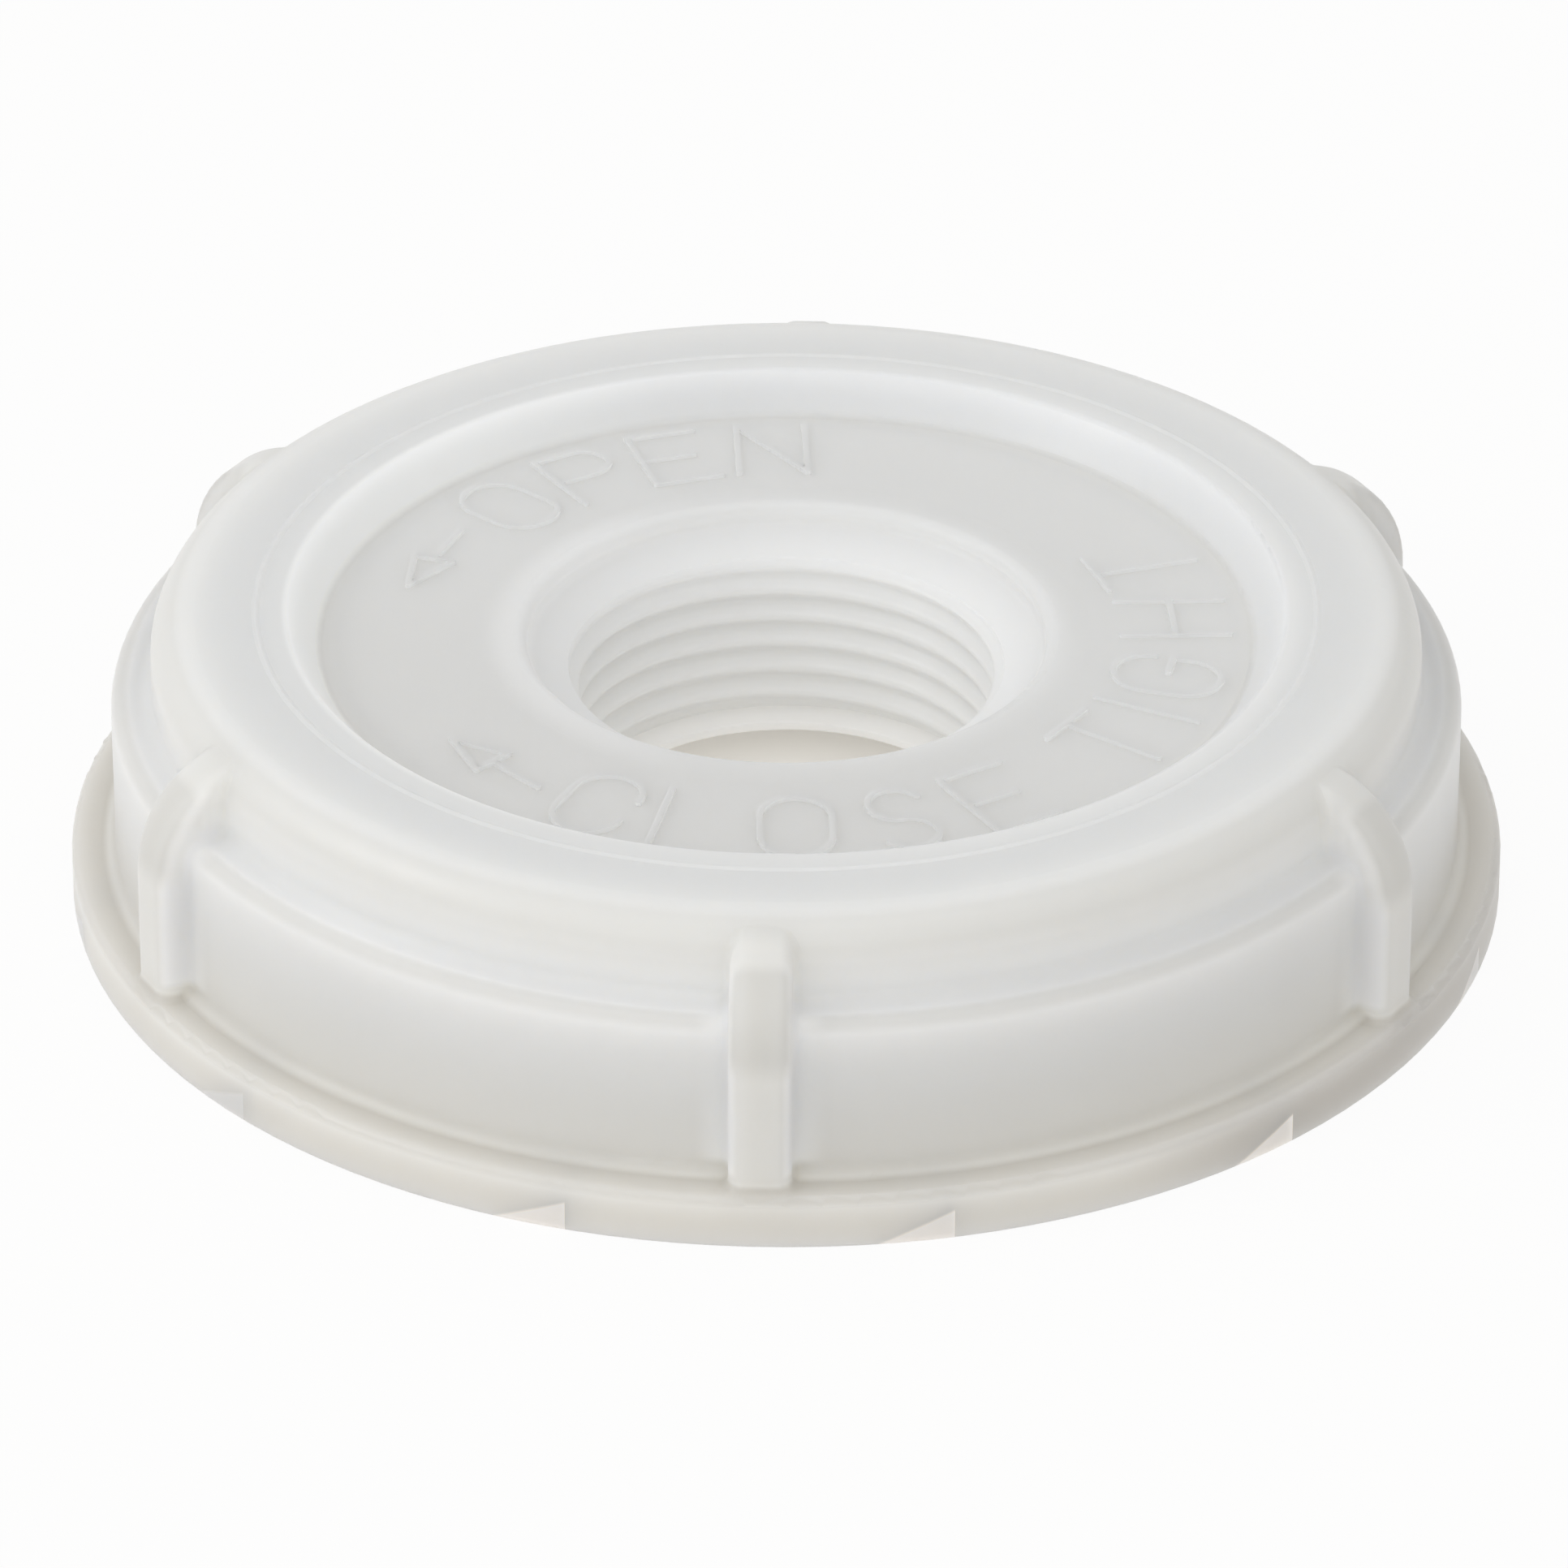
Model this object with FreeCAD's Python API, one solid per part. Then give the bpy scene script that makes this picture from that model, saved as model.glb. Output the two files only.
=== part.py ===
import FreeCAD, Part
import math
import os

# Screw cap for a 70 mm neck with a threaded middle hole, in millimetres.
# The origin is the centre of the underside, the cap's axis is +Z and the front rib is near -Y.

# Neck thread's outer radius and the groove that takes the neck, then the skirts outside it:
# thread skirt, gap, outer skirt and flange
neck_thread_root = 35.8
neck_groove = 5.2
thread_skirt_wall = 1.8
thread_skirt_lift = 4.5
skirt_gap = 1.6
skirt_gap_cover = 2.2
outer_skirt_wall = 2.1
flange_width = 2.7
flange_height = 3.3
flange_edge_round = 0.5
flange_base_round = 0.2
flange_foot_round = 0.9
inner_round = 0.4

# Heights of the rim and the ledge, and the wall above the ledge
rim_height = 18.75
rim_edge_round = 2.7
ledge_drop = 5.15
ledge_edge_round = 1.1
ledge_foot_round = 0.9
upper_wall = 3.0

# Hole in the middle, from the top down: mouth, funnel, thread and inward stop
tap_thread_radius = 13.35
mouth_width = 2.5
mouth_depth = 1.15
mouth_edge_round = 0.75
mouth_foot_round = 0.5
funnel_depth = 1.25
stop_width = 1.25
stop_height = 1.1
stop_slope = 0.5
stop_round = 0.12

# Collar around the hole, and the boss under it
collar_width = 2.75
collar_rise = 0.28
collar_foot_round = 4.0
boss_wall = 2.25
boss_lift = 2.78
boss_edge_round = 0.5
boss_foot_round = 1.6

# Recess in the top, raised line on the rim, and the plates below them
floor_depth = 2.45
floor_edge_round = 0.5
floor_slope = 0.03
floor_plate = 2.1
recess_lean = 1.85
recess_edge_round = 0.4
rim_plate = 2.25
rim_line_inset = 1.95
rim_line_width = 0.5
rim_line_rise = 0.14
rim_line_round = 0.12
plug_wall = 2.05
plug_round = 0.8

# Neck thread: one start, right-handed
neck_pitch = 25.4 / 6
neck_ridge_height = 1.9
neck_ridge_root = 2.6
neck_ridge_crest = 1.0
neck_load_flank = 0.35
neck_thread_start = 1.0
neck_thread_end = 2.4
neck_runout = 1.6
neck_cut_margin = 0.1
neck_end_margin = 0.4
thread_bite = 0.3

# Grip ribs, evenly spaced
rib_count = 6
rib_angle = -92.1
rib_stand = 2.0
rib_width = 3.7
rib_nose_radius = 7.4
rib_top_drop = 0.35
rib_edge_round = 1.0
rib_foot_round = 0.6
rib_root_depth = 1.5

# Wedge notches in the underside of the flange
notch_count = 12
notch_from_rib = 15.0
notch_height = 1.9
notch_span = 6.0
notch_outer_wall = 0.8
notch_width = 2.3

# Sealing ring seated under the rim
ring_thickness = 1.5
ring_side_clearance = 0.35
ring_edge_round = 0.15

# Lettering on the floor: OPEN at the back, CLOSE TIGHT in front, with an arrow before each
letter_margin = 1.55
letter_height = 6.6
letter_width = 4.3
letter_rise = 0.25
stroke_width = 0.4
middle_bar_share = 0.6
hook_bar_start = 0.3
hook_open_angle = 20
arrow_length = 7.8
arrow_head_length = 3.7
arrow_head_width = 2.6
open_arrow_angle = 156.3
close_arrow_angle = -137.3
open_letters = [("O", 136.7), ("P", 121.4), ("E", 107.3), ("N", 92.2)]
close_letters = [
    ("C", -118.2), ("L", -103.2), ("O", -88.6), ("S", -73.0), ("E", -57.7),
    ("T", -34.4), ("I", -23.6), ("G", -13.0), ("H", 4.5), ("T", 20.5),
]

# Radii that follow from the sizes above
thread_skirt_radius = neck_thread_root + thread_skirt_wall
outer_skirt_radius = thread_skirt_radius + skirt_gap
lower_wall_radius = outer_skirt_radius + outer_skirt_wall
flange_radius = lower_wall_radius + flange_width
upper_wall_radius = neck_thread_root + upper_wall
rib_radius = lower_wall_radius + rib_stand
mouth_radius = tap_thread_radius + mouth_width
collar_foot_radius = mouth_radius + collar_width
stop_radius = tap_thread_radius - stop_width
boss_radius = tap_thread_radius + boss_wall
plug_radius = neck_thread_root - neck_groove
floor_radius = plug_radius - plug_wall
recess_radius = floor_radius + recess_lean
rim_line_radius = recess_radius + rim_line_inset
letter_inner_radius = floor_radius - letter_margin - letter_height

# Heights that follow from the sizes above
ledge_height = rim_height - ledge_drop
floor_height = rim_height - floor_depth
ceiling_height = rim_height - rim_plate
collar_top = floor_height + floor_slope * (floor_radius - collar_foot_radius) + collar_rise
tap_thread_top = collar_top - mouth_depth - funnel_depth
tap_thread_bottom = boss_lift + stop_height
rib_nose_height = rim_height - rib_top_drop - rib_nose_radius

axis_point = FreeCAD.Vector(0, 0, 0)
axis_up = FreeCAD.Vector(0, 0, 1)


def floor_at(radius):
    """Height of the sloping floor at a radius."""
    return floor_height + floor_slope * (floor_radius - radius)


def rounded_face(corners):
    """Face in the XZ plane from (x, z, round) corners, each with its own arc."""
    arcs = []
    for i, (x, z, size) in enumerate(corners):
        before = corners[i - 1]
        after = corners[(i + 1) % len(corners)]
        here = FreeCAD.Vector(x, 0, z)
        back = (FreeCAD.Vector(before[0], 0, before[1]) - here).normalize()
        ahead = (FreeCAD.Vector(after[0], 0, after[1]) - here).normalize()
        if size == 0:
            arcs.append((here, None, here))
            continue
        half = back.getAngle(ahead) / 2
        reach = size / math.tan(half)
        middle = (back + ahead).normalize() * (size / math.sin(half) - size)
        arcs.append((here + back * reach, here + middle, here + ahead * reach))
    edges = []
    for i, (start, middle, end) in enumerate(arcs):
        if middle is not None:
            edges.append(Part.Arc(start, middle, end).toShape())
        following = arcs[(i + 1) % len(arcs)][0]
        if end.distanceToPoint(following) > 1e-6:
            edges.append(Part.LineSegment(end, following).toShape())
    return Part.Face(Part.Wire(edges))


def turned(corners):
    """Solid of revolution about the cap's axis."""
    return rounded_face(corners).revolve(axis_point, axis_up, 360)


def around(shape, angle):
    """Copy of a shape turned about the cap's axis, in degrees."""
    copy = shape.copy()
    copy.rotate(axis_point, axis_up, angle)
    return copy


def cap_shell():
    """The turned form of the cap, without ribs, thread, notches and letters."""
    line_half = rim_line_width / 2
    boss_foot = floor_at(boss_radius) - floor_plate
    return turned([
        (outer_skirt_radius, 0, flange_base_round),
        (flange_radius, 0, flange_base_round),
        (flange_radius, flange_height, flange_edge_round),
        (lower_wall_radius, flange_height, flange_foot_round),
        (lower_wall_radius, ledge_height, ledge_edge_round),
        (upper_wall_radius, ledge_height, ledge_foot_round),
        (upper_wall_radius, rim_height, rim_edge_round),
        (rim_line_radius + line_half, rim_height, 0),
        (rim_line_radius, rim_height + rim_line_rise, rim_line_round),
        (rim_line_radius - line_half, rim_height, 0),
        (recess_radius, rim_height, recess_edge_round),
        (floor_radius, floor_height, floor_edge_round),
        (collar_foot_radius, floor_at(collar_foot_radius), collar_foot_round),
        (mouth_radius, collar_top, mouth_edge_round),
        (mouth_radius, collar_top - mouth_depth, mouth_foot_round),
        (tap_thread_radius, tap_thread_top, 0),
        (tap_thread_radius, tap_thread_bottom, 0),
        (stop_radius, tap_thread_bottom - stop_slope, stop_round),
        (stop_radius, boss_lift, stop_round),
        (boss_radius, boss_lift, boss_edge_round),
        (boss_radius, boss_foot, boss_foot_round),
        (plug_radius, floor_height - floor_plate, plug_round),
        (plug_radius, ceiling_height, inner_round),
        (neck_thread_root, ceiling_height, inner_round),
        (neck_thread_root, thread_skirt_lift, inner_round),
        (thread_skirt_radius, thread_skirt_lift, inner_round),
        (thread_skirt_radius, ledge_height - skirt_gap_cover, inner_round),
        (outer_skirt_radius, ledge_height - skirt_gap_cover, inner_round),
    ])


def neck_thread():
    """Buttress ridge inside the thread skirt, run out to nothing at both ends."""
    low = thread_skirt_lift + neck_thread_start
    high = ceiling_height - ring_thickness - neck_thread_end
    crest = neck_thread_root - neck_ridge_height
    root = neck_thread_root + thread_bite
    base = low - neck_ridge_root / 2
    path = Part.makeLongHelix(neck_pitch, high - low, root)
    path.translate(FreeCAD.Vector(0, 0, base))
    half = neck_ridge_root / 2
    section = Part.makePolygon([
        FreeCAD.Vector(root, 0, base - half),
        FreeCAD.Vector(crest, 0, base + half - neck_load_flank - neck_ridge_crest),
        FreeCAD.Vector(crest, 0, base + half - neck_load_flank),
        FreeCAD.Vector(root, 0, base + half),
        FreeCAD.Vector(root, 0, base - half),
    ])
    ridge = Part.Wire(path).makePipeShell([section], True, True)
    first = low - neck_end_margin
    last = high + neck_end_margin
    window = turned([
        (crest - neck_cut_margin, first + neck_runout, 0),
        (neck_thread_root, first, 0),
        (root + neck_cut_margin, first, 0),
        (root + neck_cut_margin, last, 0),
        (neck_thread_root, last, 0),
        (crest - neck_cut_margin, last - neck_runout, 0),
    ])
    return ridge.common(window)


def grip_rib():
    """One rib on the +X side: a flat bar with a curved nose and rounded edges."""
    inside = upper_wall_radius - rib_root_depth
    skirt_inside = lower_wall_radius - rib_root_depth
    step = ledge_height - rib_root_depth
    foot = flange_height - rib_root_depth / 2
    centre = rib_radius - rib_nose_radius
    top = rib_nose_height + math.sqrt(rib_nose_radius ** 2 - (inside - centre) ** 2)
    half_turn = math.acos((inside - centre) / rib_nose_radius) / 2
    nose_foot = FreeCAD.Vector(rib_radius, 0, rib_nose_height)
    nose_mid = FreeCAD.Vector(centre + rib_nose_radius * math.cos(half_turn), 0,
                              rib_nose_height + rib_nose_radius * math.sin(half_turn))
    nose_top = FreeCAD.Vector(inside, 0, top)
    back = [(inside, step), (skirt_inside, step), (skirt_inside, foot), (rib_radius, foot)]
    corners = [nose_top] + [FreeCAD.Vector(x, 0, z) for x, z in back] + [nose_foot]
    edges = [Part.LineSegment(p, q).toShape() for p, q in zip(corners, corners[1:])]
    edges.append(Part.Arc(nose_foot, nose_mid, nose_top).toShape())
    bar = Part.Face(Part.Wire(edges)).extrude(FreeCAD.Vector(0, rib_width, 0))
    bar.translate(FreeCAD.Vector(0, -rib_width / 2, 0))
    return bar


def nose_depth(point):
    """How far a point lies inside the outline of the rib on the +X side."""
    if point.z < rib_nose_height:
        return rib_radius - point.x
    centre = rib_radius - rib_nose_radius
    return rib_nose_radius - math.hypot(point.x - centre, point.z - rib_nose_height)


def middle_of(edge):
    return edge.valueAt((edge.FirstParameter + edge.LastParameter) / 2)


def on_flank(point):
    return abs(abs(point.y) - rib_width / 2) < 1e-4


def rounded_rib():
    """The rib with the long edges of its nose rounded."""
    bar = grip_rib()
    long_edges = [e for e in bar.Edges
                  if on_flank(middle_of(e)) and nose_depth(middle_of(e)) < 1e-4]
    return bar.makeFillet(rib_edge_round, long_edges)


def with_ribs(shell):
    """Joins the ribs to the cap and rounds the corner where each flank meets the walls."""
    angles = [rib_angle + 360 / rib_count * k for k in range(rib_count)]
    rib = rounded_rib()
    body = shell.fuse([around(rib, angle) for angle in angles])
    corners = []
    for edge in body.Edges:
        for angle in angles:
            turn = FreeCAD.Rotation(axis_up, -angle)
            point = turn.multVec(middle_of(edge))
            ends = [turn.multVec(v.Point) for v in edge.Vertexes]
            along = all(on_flank(p) and p.x > 0 for p in ends + [point])
            if along and nose_depth(point) > rib_edge_round + 0.02:
                corners.append(edge)
    return body.makeFillet(rib_foot_round, corners)


def notches():
    """Wedge pockets open at the underside, each with an upright face and a ramp."""
    outer = flange_radius - notch_outer_wall
    length = math.radians(notch_span) * outer
    wedge = Part.Face(Part.makePolygon([
        FreeCAD.Vector(0, 0, -1),
        FreeCAD.Vector(0, 0, notch_height),
        FreeCAD.Vector(0, -length, 0),
        FreeCAD.Vector(0, -length, -1),
        FreeCAD.Vector(0, 0, -1),
    ])).extrude(FreeCAD.Vector(flange_radius, 0, 0))
    band = turned([
        (outer - notch_width, -1, 0), (outer, -1, 0),
        (outer, notch_height + 1, 0), (outer - notch_width, notch_height + 1, 0),
    ])
    pocket = wedge.common(band)
    first = rib_angle + notch_from_rib
    return [around(pocket, first + 360 / notch_count * k) for k in range(notch_count)]


def sealing_ring():
    """Flat soft ring that fills the groove between the plug wall and the thread."""
    inner = plug_radius + ring_side_clearance
    outer = neck_thread_root - ring_side_clearance
    low = ceiling_height - ring_thickness
    return turned([
        (inner, low, ring_edge_round), (outer, low, ring_edge_round),
        (outer, ceiling_height, ring_edge_round), (inner, ceiling_height, ring_edge_round),
    ])


def on_arc(centre, radius, degrees):
    turn = math.radians(degrees)
    return centre + FreeCAD.Vector(math.cos(turn), math.sin(turn), 0) * radius


def straight_stroke(x0, y0, x1, y1):
    """Face of a straight pen stroke with round ends."""
    start = FreeCAD.Vector(x0, y0, 0)
    end = FreeCAD.Vector(x1, y1, 0)
    along = (end - start).normalize() * (stroke_width / 2)
    side = FreeCAD.Vector(-along.y, along.x, 0)
    return Part.Face(Part.Wire([
        Part.LineSegment(start + side, end + side).toShape(),
        Part.Arc(end + side, end + along, end - side).toShape(),
        Part.LineSegment(end - side, start - side).toShape(),
        Part.Arc(start - side, start - along, start + side).toShape(),
    ]))


def curved_stroke(x, y, radius, first, last):
    """Face of a pen stroke along an arc, counter-clockwise from first to last degree."""
    centre = FreeCAD.Vector(x, y, 0)
    outer = radius + stroke_width / 2
    inner = radius - stroke_width / 2
    half = (first + last) / 2
    cap = math.degrees(stroke_width / 2 / radius)
    return Part.Face(Part.Wire([
        Part.Arc(on_arc(centre, outer, first), on_arc(centre, outer, half),
                 on_arc(centre, outer, last)).toShape(),
        Part.Arc(on_arc(centre, outer, last), on_arc(centre, radius, last + cap),
                 on_arc(centre, inner, last)).toShape(),
        Part.Arc(on_arc(centre, inner, last), on_arc(centre, inner, half),
                 on_arc(centre, inner, first)).toShape(),
        Part.Arc(on_arc(centre, inner, first), on_arc(centre, radius, first - cap),
                 on_arc(centre, outer, first)).toShape(),
    ]))


def glyph(name):
    """Pen strokes of one sign, upright, centred on x = 0 and standing on y = 0."""
    side = letter_width / 2
    top = letter_height
    waist = top / 2
    upper = top - side
    bowl = waist / 2
    line = straight_stroke
    curve = curved_stroke
    signs = {
        "O": [curve(0, upper, side, 0, 180), curve(0, side, side, 180, 360),
              line(-side, side, -side, upper), line(side, side, side, upper)],
        "C": [curve(0, upper, side, 0, 180), curve(0, side, side, 180, 360),
              line(-side, side, -side, upper)],
        "G": [curve(0, upper, side, 0, 180), curve(0, side, side, 180, 360),
              line(-side, side, -side, upper), line(side, side, side, waist),
              line(hook_bar_start, waist, side, waist)],
        "S": [curve(0, top - bowl, bowl, hook_open_angle, 270),
              curve(0, bowl, bowl, hook_open_angle - 180, 90)],
        "P": [line(-side, 0, -side, top), line(-side, top, side - bowl, top),
              line(-side, waist, side - bowl, waist),
              curve(side - bowl, top - bowl, bowl, -90, 90)],
        "E": [line(-side, 0, -side, top), line(-side, top, side, top),
              line(-side, waist, side * middle_bar_share, waist), line(-side, 0, side, 0)],
        "N": [line(-side, 0, -side, top), line(side, 0, side, top), line(-side, top, side, 0)],
        "H": [line(-side, 0, -side, top), line(side, 0, side, top),
              line(-side, waist, side, waist)],
        "T": [line(0, 0, 0, top), line(-side, top, side, top)],
        "I": [line(0, 0, 0, top)],
        "L": [line(-side, 0, -side, top), line(-side, 0, side, 0)],
        "arrow": arrow_strokes(waist),
    }
    return signs[name]


def arrow_strokes(height):
    """A left-pointing arrow with an open triangular head."""
    tip = -arrow_length / 2
    base = tip + arrow_head_length
    low = height - arrow_head_width / 2
    high = height + arrow_head_width / 2
    return [
        straight_stroke(tip, height, base, high),
        straight_stroke(tip, height, base, low),
        straight_stroke(base, low, base, high),
        straight_stroke(base, height, arrow_length / 2, height),
    ]


def raised_sign(name, angle, top_outward):
    """One sign set upright on the floor at an angle, before it is cut to its rise."""
    if top_outward:
        foot = letter_inner_radius
        turn = angle - 90
    else:
        foot = -letter_inner_radius - letter_height
        turn = angle + 90
    depth = floor_plate / 2
    prisms = []
    for face in glyph(name):
        face.translate(FreeCAD.Vector(0, foot, floor_height - depth))
        prisms.append(around(face.extrude(FreeCAD.Vector(0, 0, 2 * depth)), turn))
    return prisms[0].fuse(prisms[1:]) if len(prisms) > 1 else prisms[0]


def lettering():
    """OPEN and CLOSE TIGHT with their arrows, as low ridges that follow the floor."""
    signs = [raised_sign("arrow", open_arrow_angle, True)]
    signs += [raised_sign(name, angle, True) for name, angle in open_letters]
    signs += [raised_sign("arrow", close_arrow_angle, False)]
    signs += [raised_sign(name, angle, False) for name, angle in close_letters]
    inner = letter_inner_radius - stroke_width
    outer = letter_inner_radius + letter_height + stroke_width
    sunk = floor_plate / 4
    band = turned([
        (inner, floor_at(inner) - sunk, 0), (outer, floor_at(outer) - sunk, 0),
        (outer, floor_at(outer) + letter_rise, 0), (inner, floor_at(inner) + letter_rise, 0),
    ])
    return [sign.common(band) for sign in signs]


def cap_body():
    """The whole moulded cap."""
    body = with_ribs(cap_shell())
    body = body.cut(notches())
    return body.fuse([neck_thread()] + lettering())


os.makedirs("parts", exist_ok=True)
nodes = {"cap_body": cap_body(), "sealing_ring": sealing_ring()}
for name, shape in nodes.items():
    solid = shape.Solids[0] if len(shape.Solids) == 1 else shape
    solid.exportStep("parts/" + name + ".step")
    print(name, len(shape.Solids), solid.isValid(), round(solid.Volume, 1), solid.BoundBox)
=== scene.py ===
import bmesh
import bpy
import math
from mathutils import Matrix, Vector


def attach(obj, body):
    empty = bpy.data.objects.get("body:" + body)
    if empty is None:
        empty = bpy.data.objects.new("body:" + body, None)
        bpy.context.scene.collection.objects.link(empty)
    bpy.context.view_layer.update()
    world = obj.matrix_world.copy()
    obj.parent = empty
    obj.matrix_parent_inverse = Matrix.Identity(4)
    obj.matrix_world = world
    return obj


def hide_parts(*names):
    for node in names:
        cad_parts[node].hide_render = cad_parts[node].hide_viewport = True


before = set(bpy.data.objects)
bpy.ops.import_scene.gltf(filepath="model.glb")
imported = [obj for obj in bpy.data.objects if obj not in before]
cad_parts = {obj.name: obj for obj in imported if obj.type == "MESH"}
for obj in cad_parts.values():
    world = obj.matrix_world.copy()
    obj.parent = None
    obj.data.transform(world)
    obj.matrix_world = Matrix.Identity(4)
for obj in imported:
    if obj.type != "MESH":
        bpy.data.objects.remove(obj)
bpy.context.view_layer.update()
scene = bpy.context.scene
scene.view_settings.view_transform = "Standard"
scene.cycles.diffuse_bounces = 12

MM = 0.001


# Shader maths

class Wire:
    """A node's output socket, on which sums can be written."""

    def __init__(self, recipe, socket):
        self.recipe = recipe
        self.socket = socket

    def maths(self, operation, first, second=None):
        values = {0: first} if second is None else {0: first, 1: second}
        return self.recipe.node("ShaderNodeMath", {"operation": operation}, values)

    def __add__(self, other):
        return self.maths("ADD", self, other)

    def __radd__(self, other):
        return self.maths("ADD", other, self)

    def __sub__(self, other):
        return self.maths("SUBTRACT", self, other)

    def __rsub__(self, other):
        return self.maths("SUBTRACT", other, self)

    def __mul__(self, other):
        return self.maths("MULTIPLY", self, other)

    def __rmul__(self, other):
        return self.maths("MULTIPLY", other, self)

    def __truediv__(self, other):
        return self.maths("DIVIDE", self, other)


class Recipe:
    """One material under construction."""

    def __init__(self, name, owner=None):
        self.material = owner or bpy.data.materials.new(name)
        self.material.use_nodes = True
        self.tree = self.material.node_tree
        self.tree.nodes.clear()

    def node(self, kind, settings=None, inputs=None, output=0):
        made = self.tree.nodes.new(kind)
        for key, value in (settings or {}).items():
            setattr(made, key, value)
        for key, value in (inputs or {}).items():
            if isinstance(value, Wire):
                self.tree.links.new(value.socket, made.inputs[key])
            else:
                made.inputs[key].default_value = value
        return Wire(self, made.outputs[output])

    def place(self):
        """Position on the object in millimetres, as a vector."""
        where = self.node("ShaderNodeTexCoord", output="Object")
        return self.node("ShaderNodeVectorMath", {"operation": "SCALE"}, {0: where, "Scale": 1000.0})

    def part(self, vector, axis):
        return self.node("ShaderNodeSeparateXYZ", None, {0: vector}, axis)

    def vector(self, operation, inputs, output=0):
        return self.node("ShaderNodeVectorMath", {"operation": operation}, inputs, output)

    def length(self, first, second):
        flat = self.node("ShaderNodeCombineXYZ", None, {0: first, 1: second})
        return self.node("ShaderNodeVectorMath", {"operation": "LENGTH"}, {0: flat}, 1)

    def step(self, value, low, high):
        """0 below low, 1 above high, eased between them."""
        return self.node("ShaderNodeMapRange",
                         {"interpolation_type": "SMOOTHSTEP", "clamp": True},
                         {"Value": value, "From Min": low, "From Max": high})

    def band(self, value, low, low_full, high_full, high):
        """1 between the two middle values, eased to 0 outside the outer two."""
        return self.step(value, low, low_full) * self.step(value, high, high_full)

    def noise(self, place, scale, detail=2.0):
        return self.node("ShaderNodeTexNoise", {"noise_dimensions": "3D"},
                         {"Vector": place, "Scale": scale, "Detail": detail})

    def mix(self, factor, first, second):
        made = self.tree.nodes.new("ShaderNodeMix")
        made.data_type = "RGBA"
        for key, value in ((0, factor), (6, first), (7, second)):
            if isinstance(value, Wire):
                self.tree.links.new(value.socket, made.inputs[key])
            else:
                made.inputs[key].default_value = value
        return Wire(self, made.outputs[2])

    def finish(self, shader, kind="ShaderNodeOutputMaterial"):
        made = self.tree.nodes.new(kind)
        self.tree.links.new(shader.socket, made.inputs["Surface"])
        return self.material


def milky_plastic(name, tint):
    """Natural polyethylene: light goes some way in and comes out again."""
    r = Recipe(name)
    place = r.place()
    across = r.part(place, 0)
    along = r.part(place, 1)
    height = r.part(place, 2)
    radius = r.length(across, along)

    cloud = r.noise(place, 0.06, 2.0)
    tone = r.mix(r.step(cloud, 0.35, 0.65), tint[0], tint[1])
    # The zone masks and base colours below are painted light and shade: lighter and darker copies of
    # the plastic's colour for how light falls on and through the milky wall.
    well = r.step(radius, 29.2, 27.2) * r.step(height, 14.8, 15.6)
    recess = r.band(radius, 28.3, 28.9, 30.3, 31.0) * r.step(height, 15.8, 16.4)
    tone = top_painted_light_and_shade(r, tone, well, recess, across, along, height, radius)
    angle = r.node("ShaderNodeMath", {"operation": "ARCTAN2"}, {0: along, 1: across})
    turn = angle * (180 / math.pi)
    tone = wall_painted_light_and_shade(r, tone, turn, height, radius)
    tone = flange_painted_shade(r, tone, across, along, height, radius)
    # The middle hole is painted lighter: painted light against the shade in the thread's grooves.
    hole = r.step(radius, 16.2, 15.6) * r.step(height, 16.6, 16.0)
    tone = r.mix(hole, tone, PAINTED_LIGHT_AND_SHADE["hole"])
    # The thin wall in front of each notch is painted lighter and warmer: painted light coming through
    # from below.
    window_painted_light = notch_window(r, turn, height, radius)
    tone = r.mix(window_painted_light, tone, PAINTED_LIGHT_AND_SHADE["notch_window"])

    # Emission on the thin wall in front of the front left notches, on the left of the recess wall and
    # on the left of the hole's lip: a painted glow of light passing through the milky wall.
    front_window_painted_glow = window_painted_light * r.step(across, -36.0, -22.0) * r.step(along, -10.0, -25.0)
    glow = r.mix(front_window_painted_glow, PAINTED_GLOW["none"], PAINTED_GLOW["notch_window"])
    glow = r.mix(recess * r.step(across, -2.0, -24.0), glow, PAINTED_GLOW["recess_left"])
    lip_painted_glow = (r.band(radius, 15.2, 16.0, 17.0, 19.0) * r.step(across, -4.0, -14.0)
           * r.step(height, 13.5, 14.5))
    glow = r.mix(lip_painted_glow, glow, PAINTED_GLOW["hole_left"])

    turning = r.node("ShaderNodeMath", {"operation": "SINE"}, {0: radius * 22.0})
    peel = r.noise(place, 1.4, 3.0) + r.noise(place, 9.0, 2.0) * 0.3 + turning * 0.03 * well
    soft = softened_normal(r, across, along, height, radius)
    bump = r.node("ShaderNodeBump", None,
                  {"Strength": 0.25, "Distance": 0.00004, "Height": peel, "Normal": soft})
    sheen = 0.30 + r.noise(place, 0.35, 3.0) * 0.14
    body = r.node("ShaderNodeBsdfPrincipled", {"subsurface_method": "RANDOM_WALK"},
                  {"Base Color": tone, "Roughness": sheen, "IOR": 1.5, "Normal": bump,
                   "Emission Color": glow, "Emission Strength": 1.0,
                   "Subsurface Weight": 1.0, "Subsurface Radius": (1.0, 0.95, 0.88),
                   "Subsurface Scale": 0.0060})
    r.material.cycles.emission_sampling = "NONE"
    return r.finish(body)


def top_painted_light_and_shade(r, tone, well, recess, across, along, height, radius):
    """Painted light and shade of the recess floor, its wall and the rim: the floor darker, with more
    painted shade at its front left, and the wall and the rim lighter.
    """
    shade = r.step(along + across * 0.5, 6.0, -20.0)
    tone = r.mix(well, tone, r.mix(shade, PAINTED_LIGHT_AND_SHADE["recess_floor"], PAINTED_LIGHT_AND_SHADE["recess_floor_front"]))
    tone = r.mix(recess, tone, PAINTED_LIGHT_AND_SHADE["recess_wall"])
    rim = r.band(radius, 30.3, 31.0, 36.0, 37.5) * r.step(height, 18.0, 18.5)
    return r.mix(rim, tone, PAINTED_LIGHT_AND_SHADE["rim"])


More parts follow.
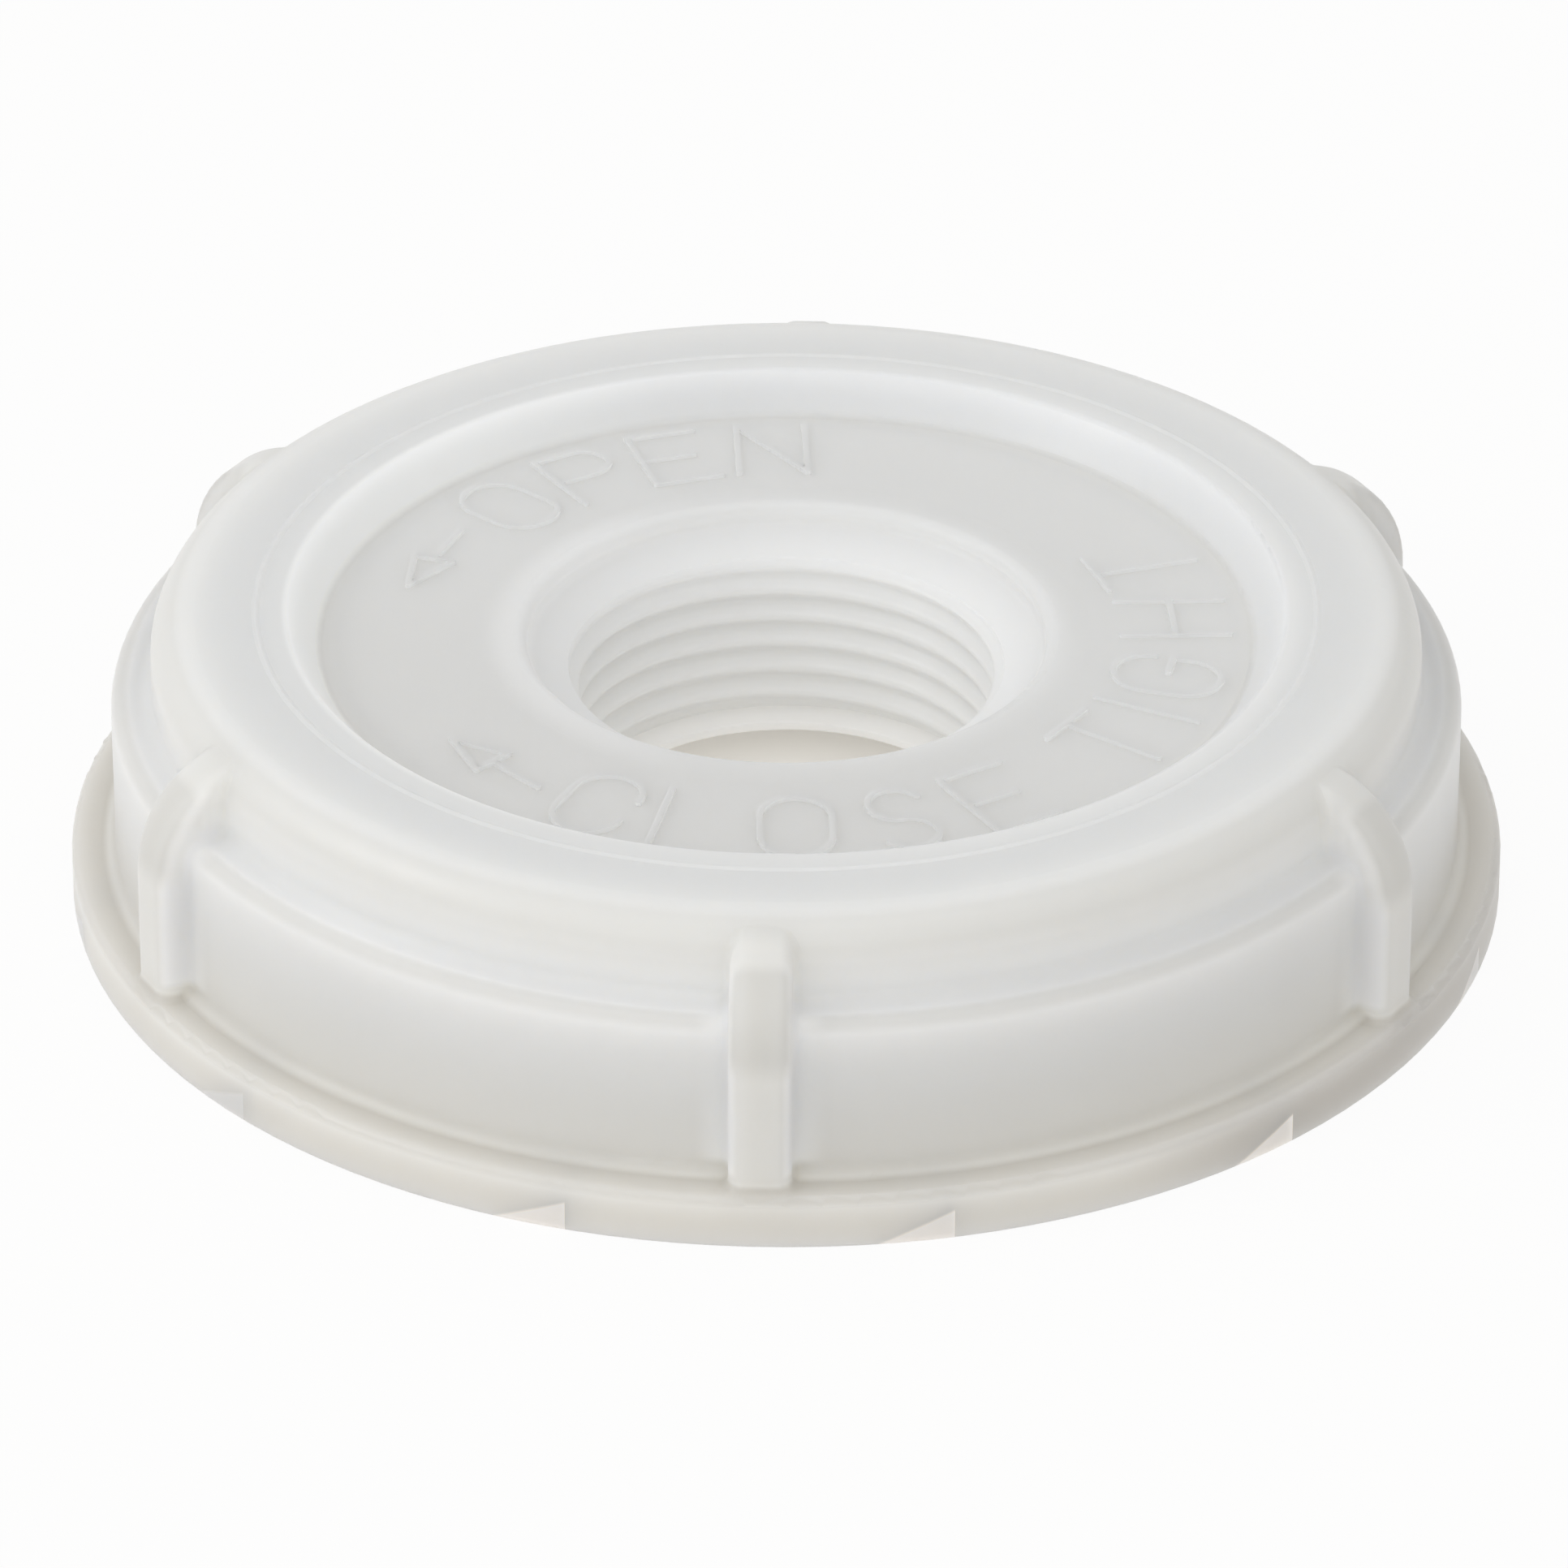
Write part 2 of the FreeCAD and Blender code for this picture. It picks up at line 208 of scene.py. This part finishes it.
def wall_painted_light_and_shade(r, tone, turn, height, radius):
    """Painted light and shade of the lower and upper wall, the ledge between them and the ribs: the
    walls and the wall beside each rib lighter, the wall's foot, the crown, the ledge, the ribs and
    their noses darker.
    """
    lower_wall = r.band(radius, 40.2, 40.9, 41.7, 42.2)
    tone = r.mix(lower_wall * r.step(height, 5.0, 13.0), tone, PAINTED_LIGHT_AND_SHADE["lower_wall"])
    wall_foot_painted_shade = lower_wall * r.step(height, 11.0, 4.5) * r.step(height, 3.2, 3.8)
    tone = r.mix(wall_foot_painted_shade, tone, PAINTED_LIGHT_AND_SHADE["wall_foot"])
    upper = (r.band(height, 12.8, 13.0, 14.6, 16.6) * r.step(radius, 37.6, 38.6)
             * r.step(radius, 40.7, 40.1))
    tone = r.mix(upper, tone, PAINTED_LIGHT_AND_SHADE["upper_wall"])
    crown_painted_shade = r.band(height, 16.2, 17.2, 18.3, 18.75) * r.step(radius, 36.4, 37.4)
    tone = r.mix(crown_painted_shade, tone, PAINTED_LIGHT_AND_SHADE["crown_painted_shade"])
    ledge = r.band(height, 12.7, 13.3, 13.7, 14.1) * r.step(radius, 40.1, 40.7)
    tone = r.mix(ledge, tone, PAINTED_LIGHT_AND_SHADE["ledge"])
    rib = r.step(radius, 41.5, 42.1) * r.step(height, 3.6, 4.2)
    tone = r.mix(rib, tone, PAINTED_LIGHT_AND_SHADE["rib"])
    off_rib = r.node("ShaderNodeMath", {"operation": "PINGPONG"},
                     {0: turn + 720.0 - RIB_ANGLE, 1: 30.0})
    beside = off_rib * (RIB_REACH * math.pi / 180)
    near_rib_painted_light = (r.step(beside, 4.2, 1.9) * r.band(height, 3.9, 4.6, 14.0, 15.5)
            * r.step(radius, 39.0, 39.8))
    tone = r.mix(near_rib_painted_light * r.step(beside, 1.2, 1.7), tone, PAINTED_LIGHT_AND_SHADE["beside_rib"])
    rib_nose_painted_shade = r.step(beside, 2.0, 1.4) * r.step(height, 10.5, 12.5) * r.step(radius, 40.0, 40.8)
    return r.mix(rib_nose_painted_shade, tone, PAINTED_LIGHT_AND_SHADE["rib_nose"])


def flange_painted_shade(r, tone, across, along, height, radius):
    """Painted shade on the flange and its top, and darker painted shade on the front right of its edge.
    """
    low = r.step(height, 5.0, 1.0) * r.step(radius, 40.0, 41.5)
    tone = r.mix(low, tone, PAINTED_LIGHT_AND_SHADE["flange"])
    flange_top_painted_shade = r.band(height, 2.6, 3.1, 3.5, 3.9) * r.step(radius, 41.6, 42.2)
    tone = r.mix(flange_top_painted_shade, tone, PAINTED_LIGHT_AND_SHADE["flange_top"])
    front_right_painted_shade = (r.step(across, 18.0, 30.0) * r.step(along, 5.0, -8.0)
                * r.step(height, 3.6, 3.0) * r.step(radius, 42.9, 43.4))
    return r.mix(front_right_painted_shade, tone, PAINTED_LIGHT_AND_SHADE["flange_dim_side"])


def softened_normal(r, across, along, height, radius):
    """Light that passes through the milky wall softens its steps and ribs."""
    normal = r.node("ShaderNodeNewGeometry", output="Normal")
    lean = r.step(height, 11.0, 18.0) * 0.9
    outward = r.node("ShaderNodeCombineXYZ", None, {0: across / radius, 1: along / radius, 2: 0.0})
    facing = r.vector("DOT_PRODUCT", {0: normal, 1: outward}, 1)
    smooth = r.node("ShaderNodeCombineXYZ", None, {0: across / radius, 1: along / radius, 2: lean})
    smooth = r.vector("NORMALIZE", {0: smooth})
    share = (r.step(radius, 38.5, 39.8) * r.step(height, 3.7, 4.4) * r.step(facing, -0.6, -0.1)
             * NORMAL_SHARE)
    kept = r.vector("SCALE", {0: normal, "Scale": 1 - share})
    added = r.vector("SCALE", {0: smooth, "Scale": share})
    return r.vector("NORMALIZE", {0: r.vector("ADD", {0: kept, 1: added})})


def notch_window(r, turn, height, radius):
    """1 on the thin outer wall in front of each wedge notch, 0 elsewhere."""
    behind = r.node("ShaderNodeMath", {"operation": "MODULO"}, {0: 720.0 + NOTCH_ANGLE - turn, 1: 30.0})
    rise = NOTCH_HEIGHT * (1 - behind / NOTCH_SPAN)
    inside = r.step(rise - height, -0.15, 0.15) * r.step(behind, NOTCH_SPAN, NOTCH_SPAN - 0.2)
    return inside * r.step(radius, 43.4, 43.7)


def tap_wall(work):
    """The faces of the plain wall of the middle hole, and its corners' turns and heights."""
    def on_wall(vert):
        flat = math.hypot(vert.co.x, vert.co.y)
        return abs(flat - TAP_RADIUS * MM) < 0.03 * MM and TAP_LOW < vert.co.z / MM < TAP_HIGH
    faces = [face for face in work.faces if all(on_wall(vert) for vert in face.verts)]
    corners = {vert for face in faces for vert in face.verts}
    heights = [vert.co.z for vert in corners]
    ring = [vert.co for vert in corners if vert.co.z < min(heights) + 0.01 * MM]
    turns = sorted({round(math.atan2(place.y, place.x), 5): place for place in ring}.items())
    return faces, turns, min(heights), max(heights)


def tap_ridge(turn, rise, height):
    """How far the thread stands in from the wall, from 0 to 1, at a turn and a height."""
    phase = (height - TAP_FIRST_CREST) / TAP_PITCH - turn / (2 * math.pi)
    ends = min(1.0, rise / TAP_RUNOUT, (TAP_HIGH - 0.02 - height) / TAP_RUNOUT)
    ends = max(0.0, ends)
    return (0.5 + 0.5 * math.cos(2 * math.pi * phase)) * ends * ends * (3 - 2 * ends)


def threaded_body(material):
    """The cap with its fine pipe thread in place of the plain wall of the middle hole."""
    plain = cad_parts["cap_body"]
    mesh = plain.data.copy()
    mesh.name = "threaded_cap_body"
    work = bmesh.new()
    work.from_mesh(mesh)
    faces, turns, low, high = tap_wall(work)
    bmesh.ops.delete(work, geom=faces, context="FACES_ONLY")
    rows = round((high - low) / MM / TAP_PITCH * TAP_ROWS_PER_TURN)
    grid = []
    for row in range(rows + 1):
        height = low + (high - low) * row / rows
        line = []
        for turn, place in turns:
            stand = tap_ridge(turn, (height - low) / MM, height / MM)
            if row in (0, rows):
                stand = 0.0
            scale = 1 - TAP_DEPTH * stand / TAP_RADIUS
            line.append(work.verts.new((place.x * scale, place.y * scale, height)))
        grid.append(line)
    for row in range(rows):
        for i in range(len(turns)):
            k = (i + 1) % len(turns)
            face = work.faces.new((grid[row][k], grid[row][i], grid[row + 1][i], grid[row + 1][k]))
            face.smooth = True
    work.to_mesh(mesh)
    work.free()
    mesh.materials.clear()
    mesh.materials.append(material)
    made = bpy.data.objects.new("threaded_cap_body", mesh)
    scene.collection.objects.link(made)
    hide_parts("cap_body")
    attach(made, "root")
    return made


# Painted light and shade: lighter and darker base colours of the plastic's zones, and the painted glow
# that some of them give off
PAINTED_LIGHT_AND_SHADE = {
    "recess_floor": (0.715, 0.72, 0.715, 1), "recess_floor_front": (0.680, 0.682, 0.675, 1),
    "recess_wall": (0.91, 0.91, 0.89, 1), "rim": (0.865, 0.861, 0.828, 1),
    "lower_wall": (0.88, 0.875, 0.85, 1), "wall_foot": (0.745, 0.735, 0.705, 1),
    "upper_wall": (0.935, 0.93, 0.90, 1), "crown_painted_shade": (0.750, 0.745, 0.718, 1),
    "ledge": (0.735, 0.730, 0.705, 1), "rib": (0.760, 0.753, 0.725, 1),
    "beside_rib": (0.95, 0.945, 0.92, 1), "rib_nose": (0.66, 0.655, 0.63, 1),
    "flange": (0.705, 0.688, 0.650, 1), "flange_top": (0.63, 0.615, 0.58, 1),
    "flange_dim_side": (0.56, 0.545, 0.52, 1), "hole": (0.86, 0.865, 0.86, 1),
    "notch_window": (0.99, 0.95, 0.90, 1)}
PAINTED_GLOW = {
    "none": (0.0, 0.0, 0.0, 1), "notch_window": (0.15, 0.125, 0.098, 1),
    "recess_left": (0.115, 0.115, 0.107, 1), "hole_left": (0.05, 0.05, 0.052, 1)}
# The floor glows under the cap: painted light in place of the cap's shade on it.
UNDER_CAP_PAINTED_GLOW = (0.24, 0.235, 0.225, 1)
FLOOR_COLOUR = (0.82, 0.80, 0.77, 1)
FLOOR_WHITE_SHARE = 0.93

TAP_RADIUS = 13.35
TAP_LOW, TAP_HIGH = 3.85, 14.5
TAP_PITCH = 25.4 / 14
TAP_DEPTH = 0.65
TAP_FIRST_CREST = 4.75
TAP_RUNOUT = 0.7
TAP_ROWS_PER_TURN = 22
NOTCH_ANGLE = -107.1
NOTCH_SPAN = 6.0
NOTCH_HEIGHT = 1.9
NORMAL_SHARE = 0.6
RIB_ANGLE = -92.1
RIB_REACH = 42.0

plastic = milky_plastic("milky_polyethylene", ((0.810, 0.805, 0.778, 1), (0.825, 0.820, 0.795, 1)))
threaded_body(plastic)
foam = milky_plastic("white_seal_foam", ((0.82, 0.82, 0.80, 1), (0.84, 0.84, 0.83, 1)))
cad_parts["sealing_ring"].data.materials.clear()
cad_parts["sealing_ring"].data.materials.append(foam)


# Floor, light and camera

def floor():
    mesh = bpy.data.meshes.new("floor")
    size = 3.0
    mesh.from_pydata([(-size, -size, 0), (size, -size, 0), (size, size, 0), (-size, size, 0)],
                     [], [(0, 1, 2, 3)])
    made = bpy.data.objects.new("floor", mesh)
    scene.collection.objects.link(made)
    r = Recipe("pale_floor")
    eye = r.node("ShaderNodeLightPath", output="Is Camera Ray")
    gloss = r.node("ShaderNodeLightPath", output="Is Glossy Ray")
    through = r.node("ShaderNodeLightPath", output="Is Transmission Ray")
    lit = r.node("ShaderNodeBsdfDiffuse", None, {"Color": FLOOR_COLOUR})
    place = r.place()
    around = r.step(r.length(r.part(place, 0), r.part(place, 1)), 42.8, 43.8)
    white = r.node("ShaderNodeEmission", None, {"Color": (1, 1, 1, 1), "Strength": 1.0})
    seen = r.node("ShaderNodeMath", {"operation": "MAXIMUM"}, {0: eye, 1: gloss})
    seen = r.node("ShaderNodeMath", {"operation": "MAXIMUM"}, {0: seen, 1: through})
    # Under the cap the floor glows: painted light where the cap's shade falls.
    glow = r.node("ShaderNodeEmission", None, {"Color": UNDER_CAP_PAINTED_GLOW, "Strength": 1.0})
    under = r.node("ShaderNodeAddShader", None, {0: lit, 1: glow})
    open_floor = r.node("ShaderNodeMixShader", None, {0: seen * FLOOR_WHITE_SHARE, 1: lit, 2: white})
    mixed = r.node("ShaderNodeMixShader", None, {0: around, 1: under, 2: open_floor})
    from_below = r.node("ShaderNodeNewGeometry", output="Backfacing")
    clear = r.node("ShaderNodeBsdfTransparent", None, {"Color": (1, 1, 1, 1)})
    mixed = r.node("ShaderNodeMixShader", None, {0: from_below, 1: mixed, 2: clear})
    mesh.materials.append(r.finish(mixed))


def lamp(name, place, size, power, target=(0, 0, 0.008), colour=(1, 1, 1)):
    data = bpy.data.lights.new(name, "AREA")
    data.shape = "RECTANGLE"
    data.size, data.size_y = size
    data.energy = power
    data.color = colour
    made = bpy.data.objects.new(name, data)
    made.location = place
    aim = Vector(target) - Vector(place)
    made.rotation_euler = aim.to_track_quat("-Z", "Y").to_euler()
    scene.collection.objects.link(made)


def studio():
    room = Recipe("studio_room", bpy.data.worlds.new("studio"))
    scene.world = room.material
    way = room.node("ShaderNodeTexCoord", output="Generated")
    facing = room.node("ShaderNodeVectorMath", {"operation": "DOT_PRODUCT"},
                       {0: way, 1: (-0.60, -0.30, 0.30)}, 1)
    strength = 0.70 + facing * 0.26
    light = room.node("ShaderNodeBackground", None, {"Color": (1, 1, 1, 1), "Strength": strength})
    room.finish(light, "ShaderNodeOutputWorld")
    lamp("left_softbox", (-0.75, -0.15, 0.55), (0.35, 0.3), 0.9)
    lamp("front_softbox", (-0.15, -0.80, 0.45), (0.8, 0.5), 0.8)
    lamp("top_softbox", (0.05, -0.20, 0.90), (0.6, 0.4), 0.7)


def camera():
    data = bpy.data.cameras.new("camera")
    data.sensor_width = 36.0
    data.lens = 242.24
    data.clip_start = 0.01
    made = bpy.data.objects.new("camera", data)
    scene.collection.objects.link(made)
    target = Vector((-0.14, 0, 5.875)) * MM
    tilt = math.radians(29.941)
    reach = 649.56 * MM
    made.location = target + Vector((0, -math.cos(tilt), math.sin(tilt))) * reach
    made.rotation_euler = (target - made.location).to_track_quat("-Z", "Y").to_euler()
    scene.camera = made


floor()
studio()
camera()
